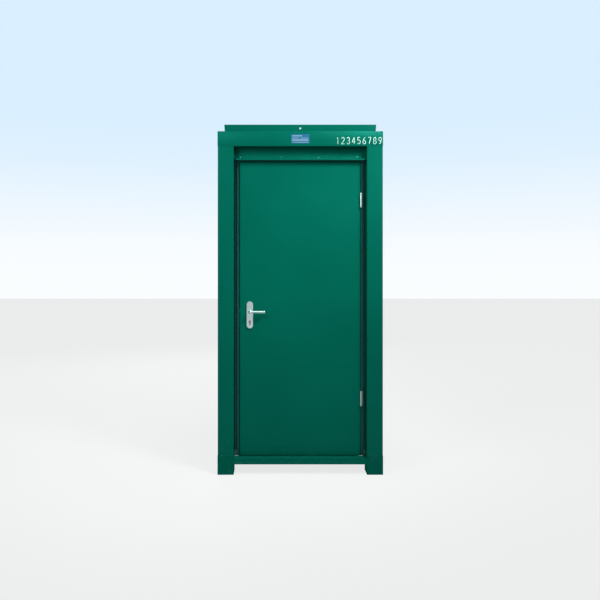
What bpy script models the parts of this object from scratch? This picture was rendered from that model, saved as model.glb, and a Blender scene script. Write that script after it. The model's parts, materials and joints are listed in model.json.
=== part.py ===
"""A walk-in parcel locker: a steel cabin on four corner feet with one side-hinged door.

Metres, +Z up. The origin is at the middle of the footprint on the ground. The door is in the
-Y face, its hinges on the +X side, its lever and lock on the -X side.
"""

import math

import bmesh
import bpy
from mathutils import Vector

# Overall size, the clearance between pieces that touch or slide, and a cutter's run past its work
WIDTH = 1.200
DEPTH = 1.400
HEIGHT = 2.540
GAP = 0.0003
EASE = 0.0005
OVERCUT = 0.005

# Corner feet and posts
FOOT_SIZE = 0.117
FOOT_TOP = 0.140
FOOT_WALL = 0.006
FOOT_EDGE = 0.002
POST_SIZE = 0.1155
POST_WALL = 0.004
POST_FOLD = 0.005
POST_X = WIDTH / 2 - FOOT_SIZE
POST_Y = DEPTH / 2 - FOOT_SIZE

# Base rails, sill and floor
BASE_BOTTOM = 0.0755
BASE_TOP = 0.120
FRONT_BASE_TOP = 0.0945
BASE_WALL = 0.003
SILL_FACE = -0.697
SILL_BACK = -0.5755
SILL_SHEET = 0.003
STOP_BAR_TOP = 0.141
STOP_BAR_EDGE = 0.003
DECK_THICKNESS = 0.018

# Top rails and roof
RAIL_BOTTOM = 2.382
RAIL_TOP = 2.490
RAIL_WALL = 0.004
RAIL_EDGE = 0.0015
RAIL_SET_BACK = 0.0015
ROOF_HALF_X = 0.596
ROOF_HALF_Y = 0.660
ROOF_SHEET = 0.002
ROOF_RIB_HEIGHT = 0.015
ROOF_RIBS = 6
UPSTAND_FACE = 0.688
UPSTAND_FOOT = 0.664
UPSTAND_FOLD = 0.670
UPSTAND_SHEET = 0.003
UPSTAND_HALF_TOP = 0.5515
UPSTAND_HALF_FOOT = 0.5485
UPSTAND_HOLE_RADIUS = 0.007
UPSTAND_HOLE_Z = 2.513

# Walls and lining
WALL_SET_BACK = 0.011
WALL_SHEET = 0.0015
WALL_RIB_DEPTH = 0.015
SIDE_RIBS = 9
REAR_RIBS = 7
RIB_SLOPE = 0.015
LINING_X = 0.520
LINING_Y = 0.560
LINING_THICKNESS = 0.010
CEILING_BOTTOM = 2.370
CEILING_THICKNESS = 0.008

# Door leaf
LEAF_HALF_WIDTH = 0.4405
LEAF_BOTTOM = 0.128
LEAF_TOP = 2.275
LEAF_FRONT = -0.645
LEAF_BACK = -0.605
LEAF_SHEET = 0.0015
LEAF_LAP = 0.0002

# Door frame: a folded profile with a ridge beside the leaf and a stop behind it
FRAME_STOP_EDGE = 0.428
FRAME_REBATE = 0.4445
FRAME_RIDGE = 0.461
FRAME_FACE = -0.635
FRAME_STOP_FACE = -0.600
FRAME_BACK = -0.575
FRAME_SHEET = 0.002
FRAME_HEAD_STOP = 2.2625
SEAL_INNER = 0.429
SEAL_OUTER = 0.440
SEAL_CHAMFER = 0.0015
SEAL_LIFT = 0.002

# Head panel and drip rail above the door
HEAD_PANEL_FACE = -0.640
HEAD_PANEL_BOTTOM = 2.2958
HEAD_PANEL_TOP = 2.3815
DRIP_HALF_WIDTH = 0.468
DRIP_TOP = 2.3225
DRIP_BEND = 2.303
DRIP_LIP_FACE = -0.680
DRIP_LIP_TOP = 2.2915
DRIP_LIP_BOTTOM = 2.2845
DRIP_SHEET = 0.0015

# Hinges: the pin stands in front of the leaf, over the rebate
PIN_X = 0.446
PIN_Y = -0.6535
PIN_RADIUS = 0.0045
KNUCKLE_RADIUS = 0.0075
KNUCKLE_BORE = 0.0048
HINGE_PLATE = 0.0025
HINGE_PLATE_INSET = 0.002
HINGE_PLATE_BACK = LEAF_BACK - 0.007
TAIL_FRONT = {"frame": 0.004, "door": 0.0015}
PIN_CAP_RADIUS = 0.0071
PIN_CAP_EDGE = 0.001
PIN_CAP_ENDS = (0.0012, 0.002)
HINGE_HALF_LENGTH = 0.0525
DOOR_KNUCKLE_HALF = 0.0172
HINGE_HEIGHTS = {"upper": 1.995, "lower": 0.543}

# Lock, levers and cylinder, all on one vertical line
LOCK_X = -0.3675
LEVER_Z = 1.178
KEY_Z = 1.106
LOCK_MID_Y = -0.620
LOCK_HALF_Y = 0.008
FACEPLATE_HALF_Y = 0.012
FACEPLATE_BACK = -0.4370
CASE_FRONT = -0.4372
CASE_END = -0.3375
CASE_Z = (1.055, 1.245)
FACEPLATE_Z = (1.040, 1.260)
CASE_SHEET = 0.0015
BOLT_HALF_Y = 0.006
LATCH_Z = (1.172, 1.200)
LATCH_TAIL = -0.400
LATCH_THROW = 0.011
LATCH_NOSE = 0.009
LATCH_NOSE_FLAT = 0.0035
DEAD_BOLT_Z = (1.101, 1.135)
DEAD_BOLT_TAIL = -0.3865
DEAD_BOLT_EDGE = 0.001
STRIKE_Z = (1.070, 1.230)
STRIKE_SHEET = 0.0015
STRIKE_INSET = 0.001
POCKET_DEPTH = 0.0035
POCKET_MARGIN = 0.003
HUB_RADIUS = 0.009
SPINDLE_HALF = 0.004
SPINDLE_REACH = 0.032
SOCKET_HALF = 0.0043
SOCKET_REACH = 0.0335
PLATE_MIDDLE_Z = 1.155
PLATE_HALF_LENGTH = 0.0985
PLATE_HALF_WIDTH = 0.023
PLATE_THICKNESS = 0.009
LEVER_RADIUS = 0.0095
LEVER_BEND = 0.012
LEVER_REACH = 0.1145
LEVER_STAND_OFF = 0.0435
LEVER_FOOT = 0.001
LEVER_DOME = 0.003
NECK_PLAY = 0.0004
CYLINDER_RADIUS = 0.0085
CYLINDER_TONGUE = 0.005
CYLINDER_HEIGHT = 0.033
CYLINDER_PROUD = 0.002
PLUG_RADIUS = 0.0065
PLUG_BORE = 0.0068
KEYWAY_HALF_WIDTH = 0.001
KEYWAY_HALF_HEIGHT = 0.0045
KEYWAY_DEPTH = 0.014
CAM_RADIUS = 0.015
CAM_HALF_WIDTH = 0.004
CAM_HALF_Y = 0.0045
CAM_ROOM_Y = 0.0055
CAM_ROOM = 0.012
CAM_ROOM_FOOT = 0.0165

# Name plate on the front top rail
NAME_PLATE_HALF_WIDTH = 0.0665
NAME_PLATE_Z = (2.4015, 2.4685)

SHARP_ANGLE = math.radians(35)
DOMED_END = 0.8
ROUND_SIDES = 24

# Colour, roughness and metallic value of each material
MATERIALS = {
    "green_paint": ((0.004, 0.150, 0.105, 1), 0.38, 0.0),
    "lining_board": ((0.70, 0.71, 0.70, 1), 0.55, 0.0),
    "floor_board": ((0.16, 0.11, 0.07, 1), 0.70, 0.0),
    "honeycomb_board": ((0.45, 0.34, 0.20, 1), 0.90, 0.0),
    "black_rubber": ((0.02, 0.02, 0.02, 1), 0.80, 0.0),
    "stainless_steel": ((0.62, 0.63, 0.63, 1), 0.32, 1.0),
    "zinc_steel": ((0.58, 0.60, 0.61, 1), 0.42, 1.0),
    "brass": ((0.60, 0.47, 0.22, 1), 0.35, 1.0),
    "aluminium": ((0.66, 0.67, 0.68, 1), 0.40, 1.0),
    "blue_plate": ((0.03, 0.14, 0.42, 1), 0.35, 0.0),
}


def clear_scene():
    for obj in list(bpy.data.objects):
        bpy.data.objects.remove(obj)


def material(name):
    found = bpy.data.materials.get(name)
    if found:
        return found
    colour, roughness, metallic = MATERIALS[name]
    made = bpy.data.materials.new(name)
    made.use_nodes = True
    made.diffuse_color = colour
    shader = made.node_tree.nodes["Principled BSDF"]
    shader.inputs["Base Color"].default_value = colour
    shader.inputs["Roughness"].default_value = roughness
    shader.inputs["Metallic"].default_value = metallic
    return made


# ---- outlines -------------------------------------------------------------------------------


def arc(centre, radius, start_deg, end_deg, steps):
    points = []
    for i in range(steps + 1):
        angle = math.radians(start_deg + (end_deg - start_deg) * i / steps)
        points.append((centre[0] + radius * math.cos(angle), centre[1] + radius * math.sin(angle)))
    return points


def circle(centre, radius, sides=ROUND_SIDES):
    return arc(centre, radius, 0, 360, sides)[:-1]


def rectangle(low, high):
    return [low, (high[0], low[1]), high, (low[0], high[1])]


def rounded_rectangle(low, high, radius, steps=2):
    left, bottom = low[0] + radius, low[1] + radius
    right, top = high[0] - radius, high[1] - radius
    corners = (((right, top), 0), ((left, top), 90), ((left, bottom), 180), ((right, bottom), 270))
    points = []
    for centre, start in corners:
        points += arc(centre, radius, start, start + 90, steps)
    return points


def stadium(middle, half_width, half_length, steps=12):
    """An upright plate outline with full-round ends."""
    straight = half_length - half_width
    top = arc((middle[0], middle[1] + straight), half_width, 0, 180, steps)
    foot = arc((middle[0], middle[1] - straight), half_width, 180, 360, steps)
    return top + foot


def cylinder_profile(grow=0.0):
    """The outline of a profile cylinder: a round head over a narrow round-ended tongue."""
    radius, tongue = CYLINDER_RADIUS + grow, CYLINDER_TONGUE + grow
    foot = KEY_Z + CYLINDER_RADIUS - CYLINDER_HEIGHT + CYLINDER_TONGUE
    join = math.degrees(math.acos(tongue / radius))
    head = arc((LOCK_X, KEY_Z), radius, -join, 180 + join, 18)
    return head + arc((LOCK_X, foot), tongue, 180, 360, 8)


def folded(path, thickness):
    """The outline of a sheet folded along a path, with its thickness on the path's right."""
    normals = []
    for (a, b), (c, d) in zip(path, path[1:]):
        length = math.hypot(c - a, d - b)
        normals.append(((d - b) / length, (a - c) / length))
    offset = []
    for i, (a, b) in enumerate(path):
        before = normals[max(i - 1, 0)]
        after = normals[min(i, len(normals) - 1)]
        reach = thickness / (1 + before[0] * after[0] + before[1] * after[1])
        offset.append((a + reach * (before[0] + after[0]), b + reach * (before[1] + after[1])))
    return list(path) + offset[::-1]


def ribbed_path(half_span, ribs, face, depth):
    """(along, face) points of a trapezoidal profile whose crests reach face."""
    pitch = 2 * half_span / ribs
    flat = pitch / 2 - RIB_SLOPE
    path = [(-half_span, face - depth)]
    for i in range(ribs):
        crest = -half_span + pitch * i + flat / 2
        path.append((crest, face - depth))
        path.append((crest + RIB_SLOPE, face))
        path.append((crest + RIB_SLOPE + flat, face))
        path.append((crest + 2 * RIB_SLOPE + flat, face - depth))
    path.append((half_span, face - depth))
    return path


# ---- solids ---------------------------------------------------------------------------------


def in_space(axis, a, b, along):
    """A point of an outline drawn across an axis: (y, z) for X, (x, z) for Y, (x, y) for Z."""
    if axis == "X":
        return (along, a, b)
    if axis == "Y":
        return (a, along, b)
    return (a, b, along)


def loop_at(shape, outline, axis, along):
    """One ring of vertices; along is a number or a function of the outline's point."""
    ring = []
    for a, b in outline:
        level = along(a, b) if callable(along) else along
        ring.append(shape.verts.new(in_space(axis, a, b, level)))
    return ring


def bridge(shape, first, second):
    for i in range(len(first)):
        j = (i + 1) % len(first)
        shape.faces.new((first[i], first[j], second[j], second[i]))


def prism(outline, axis, start, end):
    shape = bmesh.new()
    near = loop_at(shape, outline, axis, start)
    far = loop_at(shape, outline, axis, end)
    shape.faces.new(near)
    shape.faces.new(far[::-1])
    bridge(shape, near, far)
    return shape


def box(low, high):
    return prism(rectangle(low[:2], high[:2]), "Z", low[2], high[2])


def tube(outer, inner, axis, start, end):
    """A hollow section, open at both ends; both outlines have the same number of points."""
    shape = bmesh.new()
    loops = [
        loop_at(shape, outer, axis, start),
        loop_at(shape, outer, axis, end),
        loop_at(shape, inner, axis, end),
        loop_at(shape, inner, axis, start),
    ]
    for i in range(4):
        bridge(shape, loops[i], loops[(i + 1) % 4])
    return shape


def rectangular_tube(low, high, wall, axis, start, end):
    inner_low = (low[0] + wall, low[1] + wall)
    inner_high = (high[0] - wall, high[1] - wall)
    return tube(rectangle(low, high), rectangle(inner_low, inner_high), axis, start, end)


def tray(low, high, wall, open_axis, open_end):
    """A box of sheet with one side open: open_end is 0 for its low side and 1 for its high."""
    shape = bmesh.new()
    inner_low = [value + wall for value in low]
    inner_high = [value - wall for value in high]
    if open_end:
        inner_high[open_axis] = high[open_axis]
    else:
        inner_low[open_axis] = low[open_axis]

    def corners(ends):
        made = []
        for i in range(8):
            made.append(shape.verts.new([ends[(i >> k) & 1][k] for k in range(3)]))
        return made

    outer = corners((low, high))
    inner = corners((inner_low, inner_high))
    for axis in range(3):
        a, b = (axis + 1) % 3, (axis + 2) % 3
        for end in (0, 1):
            side = [(end << axis) | (i << a) | (j << b) for i, j in ((0, 0), (1, 0), (1, 1), (0, 1))]
            outside = [outer[i] for i in side]
            inside = [inner[i] for i in side]
            if (axis, end) == (open_axis, open_end):
                bridge(shape, outside, inside)
            else:
                shape.faces.new(outside)
                shape.faces.new(inside[::-1])
    return shape


def turned(rings, centre, sides=ROUND_SIDES):
    """An upright turned piece from (radius, z) rings."""
    shape = bmesh.new()
    loops = [loop_at(shape, circle(centre, radius, sides), "Z", z) for radius, z in rings]
    for first, second in zip(loops, loops[1:]):
        bridge(shape, first, second)
    shape.faces.new(loops[0])
    shape.faces.new(loops[-1][::-1])
    return shape


def bent_rod(path, radius, z, sides=16):
    """A round rod along a level (x, y) path, with slightly domed ends."""
    shape = bmesh.new()
    loops = []
    last = len(path) - 1
    for i, point in enumerate(path):
        along = (Vector(path[min(i + 1, last)]) - Vector(path[max(i - 1, 0)])).normalized()
        ring = []
        for a, b in circle((0, 0), radius if 0 < i < last else radius * DOMED_END, sides):
            ring.append(shape.verts.new((point[0] - along.y * a, point[1] + along.x * a, z + b)))
        loops.append(ring)
    for first, second in zip(loops, loops[1:]):
        bridge(shape, first, second)
    shape.faces.new(loops[0])
    shape.faces.new(loops[-1][::-1])
    return shape


# ---- objects --------------------------------------------------------------------------------


def world_place(obj):
    place = Vector((0, 0, 0))
    while obj:
        place += obj.location
        obj = obj.parent
    return place


def axis_empty(name, at, parent=None):
    empty = bpy.data.objects.new(name, None)
    empty.location = Vector(at) - world_place(parent)
    empty.parent = parent
    bpy.context.collection.objects.link(empty)
    return empty


def add(name, shape, slot, parent=None):
    """Links a shape drawn in world coordinates; its origin is its parent, or its own middle."""
    if parent:
        origin = world_place(parent)
    else:
        corners = [[vert.co[k] for vert in shape.verts] for k in range(3)]
        origin = Vector([(min(values) + max(values)) / 2 for values in corners])
    bmesh.ops.translate(shape, verts=shape.verts, vec=-origin)
    bmesh.ops.recalc_face_normals(shape, faces=shape.faces)
    mesh = bpy.data.meshes.new(name)
    shape.to_mesh(mesh)
    shape.free()
    mesh.materials.append(material(slot))
    mesh.shade_smooth()
    mesh.set_sharp_from_angle(angle=SHARP_ANGLE)
    obj = bpy.data.objects.new(name, mesh)
    obj.location = origin - world_place(parent)
    obj.parent = parent
    bpy.context.collection.objects.link(obj)
    return obj


def tool(name, shape, parent=None):
    """A guide shape for Booleans, which isn't itself a piece."""
    obj = add(name, shape, "zinc_steel", parent)
    obj.hide_render = True
    obj.display_type = "WIRE"
    return obj


def combine(obj, other, operation):
    change = obj.modifiers.new(f"{operation.lower()}_{other.name}", "BOOLEAN")
    change.operation = operation
    change.solver = "EXACT"
    change.object = other


def cut(obj, *cutters):
    for cutter in cutters:
        combine(obj, cutter, "DIFFERENCE")


def soften(obj, width, segments=1):
    change = obj.modifiers.new("soft_edges", "BEVEL")
    change.width = width
    change.segments = segments
    change.limit_method = "ANGLE"


def between(sign, inner, outer):
    """The low and high of a span that is mirrored by sign."""
    return tuple(sorted((sign * inner, sign * outer)))


ENDS = (("front", -1), ("rear", 1))
SIDES = (("left", -1), ("right", 1))
CORNERS = [(end, ys, side, xs) for end, ys in ENDS for side, xs in SIDES]


# ---- cabin ----------------------------------------------------------------------------------


def make_corners():
    for end, ys, side, xs in CORNERS:
        x_low, x_high = between(xs, POST_X, WIDTH / 2)
        y_low, y_high = between(ys, POST_Y, DEPTH / 2)
        foot = tray((x_low, y_low, 0), (x_high, y_high, FOOT_TOP), FOOT_WALL, 2, 1)
        soften(add(f"{end}_{side}_foot", foot, "green_paint"), FOOT_EDGE)

        x_low, x_high = between(xs, POST_X, POST_X + POST_SIZE)
        y_low, y_high = between(ys, POST_Y, POST_Y + POST_SIZE)
        outer = rounded_rectangle((x_low, y_low), (x_high, y_high), POST_FOLD)
        inner = rounded_rectangle(
            (x_low + POST_WALL, y_low + POST_WALL),
            (x_high - POST_WALL, y_high - POST_WALL),
            POST_FOLD - POST_WALL,
        )
        post = tube(outer, inner, "Z", FOOT_TOP + GAP, RAIL_BOTTOM - GAP)
        add(f"{end}_{side}_post", post, "green_paint")


def make_base():
    half = POST_X - GAP
    front = rectangular_tube(
        (-DEPTH / 2, BASE_BOTTOM), (-POST_Y, FRONT_BASE_TOP), BASE_WALL, "X", -half, half
    )
    add("front_base_rail", front, "green_paint")
    rear = rectangular_tube((POST_Y, BASE_BOTTOM), (DEPTH / 2, BASE_TOP), BASE_WALL, "X", -half, half)
    add("rear_base_rail", rear, "green_paint")
    half = POST_Y - GAP
    for side, xs in SIDES:
        x_low, x_high = between(xs, POST_X, WIDTH / 2)
        rail = rectangular_tube((x_low, BASE_BOTTOM), (x_high, BASE_TOP), BASE_WALL, "Y", -half, half)
        add(f"{side}_base_rail", rail, "green_paint")

    half_deck = LINING_X + LINING_THICKNESS
    deck_low = (-half_deck, FRAME_BACK + EASE, BASE_TOP + GAP)
    deck_high = (half_deck, POST_Y - EASE, BASE_TOP + GAP + DECK_THICKNESS)
    add("floor_deck", box(deck_low, deck_high), "floor_board")


def make_top_rails():
    face = DEPTH / 2 - RAIL_SET_BACK
    for end, ys in ENDS:
        y_low, y_high = between(ys, POST_Y, face)
        open_end = 1 if ys < 0 else 0
        rail = tray((-WIDTH / 2, y_low, RAIL_BOTTOM), (WIDTH / 2, y_high, RAIL_TOP), RAIL_WALL, 1, open_end)
        soften(add(f"{end}_top_rail", rail, "green_paint"), RAIL_EDGE, 2)
    for side, xs in SIDES:
        x_low, x_high = between(xs, POST_X, WIDTH / 2)
        y_end = POST_Y - GAP
        open_end = 1 if xs < 0 else 0
        rail = tray((x_low, -y_end, RAIL_BOTTOM), (x_high, y_end, RAIL_TOP), RAIL_WALL, 0, open_end)
        soften(add(f"{side}_top_rail", rail, "green_paint"), RAIL_EDGE, 2)


def make_roof():
    foot = RAIL_TOP + GAP
    ribs = ribbed_path(ROOF_HALF_Y, ROOF_RIBS, foot + ROOF_RIB_HEIGHT, ROOF_RIB_HEIGHT)
    roof = prism(folded(ribs[::-1], ROOF_SHEET), "X", -ROOF_HALF_X, ROOF_HALF_X)
    add("roof_sheet", roof, "zinc_steel")

    slope = (UPSTAND_HALF_TOP - UPSTAND_HALF_FOOT) / (HEIGHT - foot)

    def end_x(y, z):
        return UPSTAND_HALF_FOOT + slope * (z - foot)

    path = [(UPSTAND_FOOT, foot), (UPSTAND_FACE, foot), (UPSTAND_FACE, HEIGHT), (UPSTAND_FOLD, HEIGHT)]
    for end, ys in ENDS:
        outline = [(ys * y, z) for y, z in folded(path, -UPSTAND_SHEET)]
        upstand = prism(outline, "X", lambda y, z: -end_x(y, z), end_x)
        add(f"{end}_roof_upstand", upstand, "green_paint")
    hole = circle((0, UPSTAND_HOLE_Z), UPSTAND_HOLE_RADIUS, 16)
    span = (-UPSTAND_FACE - OVERCUT, -UPSTAND_FACE + 2 * OVERCUT)
    cutter = tool("upstand_hole", prism(hole, "Y", *span))
    cut(bpy.data.objects["front_roof_upstand"], cutter)


def make_walls():
    bottom, top = BASE_TOP + GAP, RAIL_BOTTOM - GAP
    side = folded(ribbed_path(POST_Y - GAP, SIDE_RIBS, WIDTH / 2 - WALL_SET_BACK, WALL_RIB_DEPTH), WALL_SHEET)
    for name, xs in SIDES:
        outline = [(xs * face, y) for y, face in side]
        add(f"{name}_wall_sheet", prism(outline, "Z", bottom, top), "green_paint")
    rear = folded(ribbed_path(POST_X - GAP, REAR_RIBS, DEPTH / 2 - WALL_SET_BACK, WALL_RIB_DEPTH), WALL_SHEET)
    add("rear_wall_sheet", prism(rear, "Z", bottom, top), "green_paint")


def make_lining():
    bottom, top = BASE_TOP + 2 * GAP + DECK_THICKNESS, CEILING_BOTTOM - GAP
    outer_x, outer_y = LINING_X + LINING_THICKNESS, LINING_Y + LINING_THICKNESS
    front = FRAME_BACK + GAP
    for name, xs in SIDES:
        x_low, x_high = between(xs, LINING_X + GAP, outer_x)
        add(f"{name}_lining", box((x_low, front, bottom), (x_high, outer_y, top)), "lining_board")
    rear = box((-LINING_X, LINING_Y + GAP, bottom), (LINING_X, outer_y, top))
    add("rear_lining", rear, "lining_board")
    ceiling_top = CEILING_BOTTOM + CEILING_THICKNESS
    ceiling = box((-outer_x, front, CEILING_BOTTOM), (outer_x, outer_y, ceiling_top))
    add("ceiling_panel", ceiling, "lining_board")
    head_low = (-POST_X + GAP, -POST_Y + EASE, frame_height(POST_X))
    head_high = (POST_X - GAP, FRAME_BACK, CEILING_BOTTOM - GAP)
    add("head_lining", box(head_low, head_high), "lining_board")


# ---- doorway --------------------------------------------------------------------------------


def frame_height(reach):
    """The height on the frame's mitre of a point this far out from the doorway's middle."""
    return FRAME_HEAD_STOP + reach - FRAME_STOP_EDGE


def frame_path():
    """(reach, y) points of the folded frame, from the post to the inside of the stop."""
    outer = POST_X - GAP
    return [
        (outer, FRAME_BACK),
        (outer, FRAME_STOP_FACE),
        (FRAME_RIDGE, FRAME_STOP_FACE),
        (FRAME_RIDGE, FRAME_FACE),
        (FRAME_REBATE, FRAME_FACE),
        (FRAME_REBATE, FRAME_STOP_FACE),
        (FRAME_STOP_EDGE, FRAME_STOP_FACE),
        (FRAME_STOP_EDGE, FRAME_BACK),
    ]


def make_door_frame():
    profile = folded(frame_path(), FRAME_SHEET)
    for name, xs in (("hinge_jamb", 1), ("lock_jamb", -1)):
        outline = [(xs * reach, y) for reach, y in profile]
        jamb = prism(outline, "Z", BASE_TOP + GAP, lambda x, y: frame_height(abs(x)) - GAP)
        add(name, jamb, "green_paint")
    outline = [(y, frame_height(reach)) for reach, y in profile]

    def head_end(y, z):
        return z - FRAME_HEAD_STOP + FRAME_STOP_EDGE - GAP

    head = prism(outline, "X", lambda y, z: -head_end(y, z), head_end)
    add("frame_head", head, "green_paint")

    sill_foot = FRONT_BASE_TOP + GAP
    path = [(SILL_FACE, sill_foot), (SILL_FACE, BASE_TOP), (SILL_BACK, BASE_TOP), (SILL_BACK, sill_foot)]
    half = POST_X - GAP
    add("door_sill", prism(folded(path, SILL_SHEET), "X", -half, half), "green_paint")
    half = FRAME_STOP_EDGE - GAP
    bar = box((-half, FRAME_STOP_FACE, BASE_TOP + GAP), (half, SILL_BACK, STOP_BAR_TOP))
    soften(add("threshold_stop", bar, "aluminium"), STOP_BAR_EDGE, 2)


def make_head():
    half = POST_X - GAP
    path = [
        (FRAME_STOP_FACE - GAP, HEAD_PANEL_BOTTOM),
        (HEAD_PANEL_FACE, HEAD_PANEL_BOTTOM),
        (HEAD_PANEL_FACE, HEAD_PANEL_TOP),
        (-POST_Y - 2 * EASE, HEAD_PANEL_TOP),
    ]
    add("head_panel", prism(folded(path, FRAME_SHEET), "X", -half, half), "green_paint")

    back = HEAD_PANEL_FACE - GAP
    path = [(back, DRIP_TOP), (back, DRIP_BEND)]
    path += [(DRIP_LIP_FACE, DRIP_LIP_TOP), (DRIP_LIP_FACE, DRIP_LIP_BOTTOM)]
    drip = prism(folded(path, DRIP_SHEET), "X", -DRIP_HALF_WIDTH, DRIP_HALF_WIDTH)
    add("drip_rail", drip, "green_paint")

    face = -DEPTH / 2 + RAIL_SET_BACK - GAP
    plate_low = (-NAME_PLATE_HALF_WIDTH, -DEPTH / 2, NAME_PLATE_Z[0])
    plate_high = (NAME_PLATE_HALF_WIDTH, face, NAME_PLATE_Z[1])
    add("name_plate", box(plate_low, plate_high), "blue_plate")


def seal_outline():
    """(reach, y) points of the rubber strip that lies on the frame's stop."""
    foot, crown = FRAME_STOP_FACE - GAP, LEAF_BACK + GAP
    return [
        (SEAL_INNER, foot),
        (SEAL_OUTER, foot),
        (SEAL_OUTER - SEAL_CHAMFER, crown),
        (SEAL_INNER + SEAL_CHAMFER, crown),
    ]


def make_seals():
    strip = seal_outline()
    top = frame_height(SEAL_INNER) - GAP
    for name, xs in (("hinge_side_seal", 1), ("lock_side_seal", -1)):
        outline = [(xs * reach, y) for reach, y in strip]
        add(name, prism(outline, "Z", STOP_BAR_TOP + SEAL_LIFT, top), "black_rubber")
    outline = [(y, frame_height(reach)) for reach, y in strip]
    add("top_seal", prism(outline, "X", -SEAL_OUTER, SEAL_OUTER), "black_rubber")


# ---- door -----------------------------------------------------------------------------------


def make_leaf(door):
    low = (-LEAF_HALF_WIDTH, LEAF_FRONT, LEAF_BOTTOM)
    high = (LEAF_HALF_WIDTH, LEAF_BACK - LEAF_LAP, LEAF_TOP)
    outer = add("door_outer_skin", tray(low, high, LEAF_SHEET, 1, 1), "green_paint", door)

    inset = LEAF_SHEET + GAP
    half = LEAF_HALF_WIDTH - inset
    inner_front = LEAF_BACK - LEAF_SHEET
    inner_low = (-half, inner_front, LEAF_BOTTOM + inset)
    inner_high = (half, LEAF_BACK, LEAF_TOP - inset)
    inner = add("door_inner_skin", box(inner_low, inner_high), "green_paint", door)

    core_low = (-half, LEAF_FRONT + inset, LEAF_BOTTOM + inset)
    core_high = (half, inner_front - GAP, LEAF_TOP - inset)
    core = add("door_core", box(core_low, core_high), "honeycomb_board", door)

    through = (LEAF_FRONT - 2 * PLATE_THICKNESS, LEAF_BACK + 2 * PLATE_THICKNESS)
    spindle_hole = prism(circle((LOCK_X, LEVER_Z), LEVER_RADIUS + 2 * EASE), "Y", *through)
    key_hole = prism(cylinder_profile(EASE), "Y", *through)
    spindle_hole = tool("spindle_hole", spindle_hole, door)
    key_hole = tool("key_hole", key_hole, door)
    slot_y = (LOCK_MID_Y - FACEPLATE_HALF_Y - GAP, LOCK_MID_Y + FACEPLATE_HALF_Y + GAP)
    slot_z = (FACEPLATE_Z[0] - GAP, FACEPLATE_Z[1] + GAP)
    edge_low = (-LEAF_HALF_WIDTH - OVERCUT, slot_y[0], slot_z[0])
    lock_slot = tool("lock_slot", box(edge_low, (CASE_END + EASE, slot_y[1], slot_z[1])), door)
    for piece in (outer, inner, core):
        cut(piece, spindle_hole, key_hole)
    for piece in (outer, core):
        cut(piece, lock_slot)


def hinge_pieces(door, name, middle):
    """One hinge: frame half with two knuckles, door half with one between them, and the pin."""
    pin = (PIN_X, PIN_Y)
    low, high = middle - HINGE_HALF_LENGTH, middle + HINGE_HALF_LENGTH
    split = DOOR_KNUCKLE_HALF + GAP
    web_x = (PIN_X - EASE, PIN_X + HINGE_PLATE)
    web_front = PIN_Y + KNUCKLE_RADIUS + EASE
    plate_y = (FRAME_FACE - GAP - HINGE_PLATE, FRAME_FACE - GAP)

    frame_plate = [
        (web_x[0], web_front),
        (web_x[1], web_front),
        (web_x[1], plate_y[0]),
        (FRAME_RIDGE - HINGE_PLATE_INSET, plate_y[0]),
        (FRAME_RIDGE - HINGE_PLATE_INSET, plate_y[1]),
        (web_x[0], plate_y[1]),
    ]
    bore = tool(f"{name}_bore", prism(circle(pin, KNUCKLE_BORE), "Z", low - OVERCUT, high + OVERCUT))
    half = add(f"{name}_frame_hinge", prism(frame_plate, "Z", low, high), "zinc_steel")
    for part, z_low, z_high in (("foot", low, middle - split), ("head", middle + split, high)):
        knuckle = prism(circle(pin, KNUCKLE_RADIUS), "Z", z_low, z_high)
        tail_front = PIN_Y + TAIL_FRONT["frame"]
        tail = box((web_x[0], tail_front, z_low), (web_x[1], web_front + 2 * EASE, z_high))
        combine(half, tool(f"{name}_{part}_tail", tail), "UNION")
        combine(half, tool(f"{name}_{part}_knuckle", knuckle), "UNION")
    cut(half, bore)

    leaf_edge = LEAF_HALF_WIDTH + GAP
    plate_x = (leaf_edge, leaf_edge + HINGE_PLATE)
    door_plate = box((plate_x[0], LEAF_FRONT - EASE, low), (plate_x[1], HINGE_PLATE_BACK, high))
    half = add(f"{name}_door_hinge", door_plate, "zinc_steel", door)
    z_low, z_high = middle - DOOR_KNUCKLE_HALF, middle + DOOR_KNUCKLE_HALF
    knuckle = prism(circle(pin, KNUCKLE_RADIUS), "Z", z_low, z_high)
    tail = box((plate_x[0], PIN_Y + TAIL_FRONT["door"], z_low), (plate_x[1], LEAF_FRONT, z_high))
    combine(half, tool(f"{name}_door_tail", tail, door), "UNION")
    combine(half, tool(f"{name}_door_knuckle", knuckle, door), "UNION")
    cut(half, bore)

    cap, (cap_side, cap_end) = PIN_CAP_RADIUS, PIN_CAP_ENDS
    rings = [
        (cap - PIN_CAP_EDGE, low - cap_end),
        (cap, low - cap_side),
        (cap, low - GAP),
        (PIN_RADIUS, low - GAP),
        (PIN_RADIUS, high + GAP),
        (cap, high + GAP),
        (cap, high + cap_side),
        (cap - PIN_CAP_EDGE, high + cap_end),
    ]
    add(f"{name}_hinge_pin", turned(rings, pin), "zinc_steel")


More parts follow.
